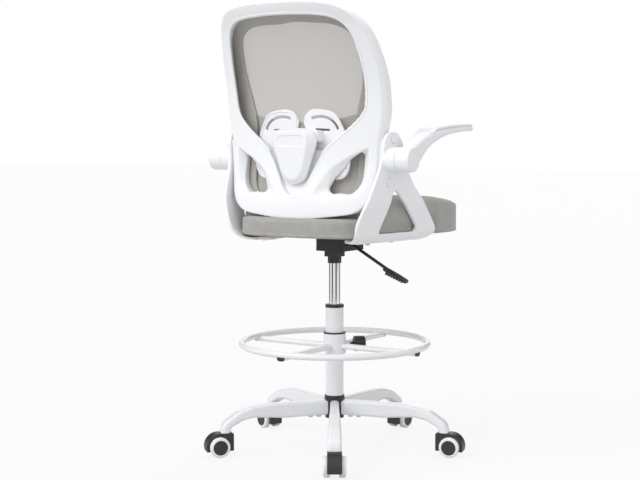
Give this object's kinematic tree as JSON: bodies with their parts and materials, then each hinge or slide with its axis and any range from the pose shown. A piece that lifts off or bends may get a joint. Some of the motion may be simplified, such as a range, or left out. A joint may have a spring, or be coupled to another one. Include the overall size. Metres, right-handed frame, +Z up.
{
  "type": "drafting chair",
  "caption": "Drafting chair with a mesh back, sliding lumbar support, flip-up arms, padded swivel seat on a gas lift, foot ring and a base on casters.",
  "frame": {"origin": "on the floor under the axis of the column", "axes": "+Z up; the sitter faces -Y; +X is the sitter's left"},
  "size_m": [0.6397, 0.6209, 1.0864],
  "materials": {
    "white_steel": "white gloss powder coat",
    "white_plastic": "white satin moulding",
    "arm_pad": "white soft-touch skin, satin",
    "grey_plastic": "warm grey satin moulding",
    "black_plastic": "black satin moulding",
    "black_steel": "black satin powder coat",
    "steel": "plain steel",
    "chrome": "polished",
    "caster_wheel": "white tyre with a black disc",
    "plywood": "bare plywood",
    "seat_fabric": "warm grey woven fabric, matt",
    "mesh_fabric": "warm grey open mesh"
  },
  "bodies": {
    "base": {"leg_1": "white_steel", "leg_2": "white_steel", "leg_3": "white_steel", "leg_4": "white_steel", "leg_5": "white_steel", "base_hub": "black_plastic", "hub_bolts": "steel", "column_tube": "white_steel", "column_bush": "black_plastic", "thrust_bearing": "steel"},
    "caster_1_swivel": {"caster_1_hood": "black_plastic", "caster_1_stem_and_axle": "steel"},
    "caster_1_left_wheel": {"caster_1_wheel_left": "caster_wheel"},
    "caster_1_right_wheel": {"caster_1_wheel_right": "caster_wheel"},
    "caster_2_swivel": {"caster_2_hood": "black_plastic", "caster_2_stem_and_axle": "steel"},
    "caster_2_left_wheel": {"caster_2_wheel_left": "caster_wheel"},
    "caster_2_right_wheel": {"caster_2_wheel_right": "caster_wheel"},
    "caster_3_swivel": {"caster_3_hood": "black_plastic", "caster_3_stem_and_axle": "steel"},
    "caster_3_left_wheel": {"caster_3_wheel_left": "caster_wheel"},
    "caster_3_right_wheel": {"caster_3_wheel_right": "caster_wheel"},
    "caster_4_swivel": {"caster_4_hood": "black_plastic", "caster_4_stem_and_axle": "steel"},
    "caster_4_left_wheel": {"caster_4_wheel_left": "caster_wheel"},
    "caster_4_right_wheel": {"caster_4_wheel_right": "caster_wheel"},
    "caster_5_swivel": {"caster_5_hood": "black_plastic", "caster_5_stem_and_axle": "steel"},
    "caster_5_left_wheel": {"caster_5_wheel_left": "caster_wheel"},
    "caster_5_right_wheel": {"caster_5_wheel_right": "caster_wheel"},
    "foot_ring_slider": {"foot_ring_liner": "black_plastic"},
    "foot_ring": {"foot_ring_hoop": "white_steel", "foot_ring_spokes": "white_steel", "spoke_end_caps": "black_plastic", "foot_ring_sleeve": "white_steel"},
    "ring_lock": {"ring_lock_knob": "black_plastic"},
    "gas_lift_rod": {"piston_rod": "steel", "retaining_clip": "steel"},
    "seat": {"gas_cylinder": "chrome", "taper_socket": "black_steel", "seat_plate": "black_steel", "seat_board": "plywood", "seat_cushion": "seat_fabric", "frame_bolts": "steel", "bracket_bolt_caps": "white_plastic", "back_frame": "white_plastic", "mesh_frame": "grey_plastic", "mesh_panel": "mesh_fabric", "arm_bracket_left": "white_plastic", "arm_bracket_right": "white_plastic", "arm_pivot_pins": "steel"},
    "height_lever": {"lever_rod": "black_steel", "lever_handle": "black_plastic"},
    "release_pin": {"release_pin": "steel"},
    "arm_left": {"arm_left": "white_plastic", "arm_pad_left": "arm_pad"},
    "arm_right": {"arm_right": "white_plastic", "arm_pad_right": "arm_pad"},
    "lumbar": {"lumbar_support": "white_plastic", "spine_cover": "white_plastic"}
  },
  "joints": [
    {"name": "caster_1_swivel", "type": "hinge", "parent": "base", "child": "caster_1_swivel", "pos_m": [-0.15164, 0.23894, 0.06], "axis": [0, 0, 1], "continuous": true},
    {"name": "caster_1_left_roll", "type": "hinge", "parent": "caster_1_swivel", "child": "caster_1_left_wheel", "pos_m": [-0.16021, 0.25245, 0.025], "axis": [-0.8443, -0.5358, 0], "continuous": true},
    {"name": "caster_1_right_roll", "type": "hinge", "parent": "caster_1_swivel", "child": "caster_1_right_wheel", "pos_m": [-0.16021, 0.25245, 0.025], "axis": [-0.8443, -0.5358, 0], "continuous": true},
    {"name": "caster_2_swivel", "type": "hinge", "parent": "base", "child": "caster_2_swivel", "pos_m": [-0.27411, -0.07038, 0.06], "axis": [0, 0, 1], "continuous": true},
    {"name": "caster_2_left_roll", "type": "hinge", "parent": "caster_2_swivel", "child": "caster_2_left_wheel", "pos_m": [-0.28961, -0.07436, 0.025], "axis": [0.2487, -0.9686, 0], "continuous": true},
    {"name": "caster_2_right_roll", "type": "hinge", "parent": "caster_2_swivel", "child": "caster_2_right_wheel", "pos_m": [-0.28961, -0.07436, 0.025], "axis": [0.2487, -0.9686, 0], "continuous": true},
    {"name": "caster_3_swivel", "type": "hinge", "parent": "base", "child": "caster_3_swivel", "pos_m": [-0.01777, -0.28244, 0.06], "axis": [0, 0, 1], "continuous": true},
    {"name": "caster_3_left_roll", "type": "hinge", "parent": "caster_3_swivel", "child": "caster_3_left_wheel", "pos_m": [-0.01877, -0.29841, 0.025], "axis": [0.998, -0.0628, 0], "continuous": true},
    {"name": "caster_3_right_roll", "type": "hinge", "parent": "caster_3_swivel", "child": "caster_3_right_wheel", "pos_m": [-0.01877, -0.29841, 0.025], "axis": [0.998, -0.0628, 0], "continuous": true},
    {"name": "caster_4_swivel", "type": "hinge", "parent": "base", "child": "caster_4_swivel", "pos_m": [0.26313, -0.10418, 0.06], "axis": [0, 0, 1], "continuous": true},
    {"name": "caster_4_left_roll", "type": "hinge", "parent": "caster_4_swivel", "child": "caster_4_left_wheel", "pos_m": [0.278, -0.11007, 0.025], "axis": [0.3681, 0.9298, 0], "continuous": true},
    {"name": "caster_4_right_roll", "type": "hinge", "parent": "caster_4_swivel", "child": "caster_4_right_wheel", "pos_m": [0.278, -0.11007, 0.025], "axis": [0.3681, 0.9298, 0], "continuous": true},
    {"name": "caster_5_swivel", "type": "hinge", "parent": "base", "child": "caster_5_swivel", "pos_m": [0.18039, 0.21805, 0.06], "axis": [0, 0, 1], "continuous": true},
    {"name": "caster_5_left_roll", "type": "hinge", "parent": "caster_5_swivel", "child": "caster_5_left_wheel", "pos_m": [0.19059, 0.23038, 0.025], "axis": [-0.7705, 0.6374, 0], "continuous": true},
    {"name": "caster_5_right_roll", "type": "hinge", "parent": "caster_5_swivel", "child": "caster_5_right_wheel", "pos_m": [0.19059, 0.23038, 0.025], "axis": [-0.7705, 0.6374, 0], "continuous": true},
    {"name": "foot_ring_height", "type": "slide", "parent": "base", "child": "foot_ring_slider", "axis": [0, 0, 1], "range_m": [-0.1, 0.055]},
    {"name": "foot_ring_turn", "type": "hinge", "parent": "foot_ring_slider", "child": "foot_ring", "pos_m": [0, 0, 0.265], "axis": [0, 0, 1], "continuous": true},
    {"name": "ring_lock_turn", "type": "hinge", "parent": "foot_ring", "child": "ring_lock", "pos_m": [-0.04243, -0.04243, 0.262], "axis": [-0.7071, -0.7071, 0], "range_deg": [0, 360]},
    {"name": "seat_swivel", "type": "hinge", "parent": "base", "child": "gas_lift_rod", "pos_m": [0, 0, 0.1], "axis": [0, 0, 1], "continuous": true},
    {"name": "seat_height", "type": "slide", "parent": "gas_lift_rod", "child": "seat", "axis": [0, 0, 1], "range_m": [-0.095, 0.1]},
    {"name": "height_lever_tip", "type": "hinge", "parent": "seat", "child": "height_lever", "pos_m": [-0.04, 0, 0.516], "axis": [0, 1, 0], "range_deg": [0, 5]},
    {"name": "release_pin_press", "type": "slide", "parent": "seat", "child": "release_pin", "axis": [0, 0, 1], "range_m": [-0.004, 0], "stiffness_N_per_m": 1000},
    {"name": "arm_left_flip", "type": "hinge", "parent": "seat", "child": "arm_left", "pos_m": [0.26, 0.112, 0.726], "axis": [-1, 0, 0], "range_deg": [0, 90]},
    {"name": "arm_right_flip", "type": "hinge", "parent": "seat", "child": "arm_right", "pos_m": [-0.26, 0.112, 0.726], "axis": [-1, 0, 0], "range_deg": [0, 90]},
    {"name": "lumbar_height", "type": "slide", "parent": "seat", "child": "lumbar", "axis": [0, 0, 1], "range_m": [-0.014, 0.012]}
  ],
  "couplings": [
    {"joint": "release_pin_press", "follows": "height_lever_tip", "m_per_rad": -0.044}
  ]
}
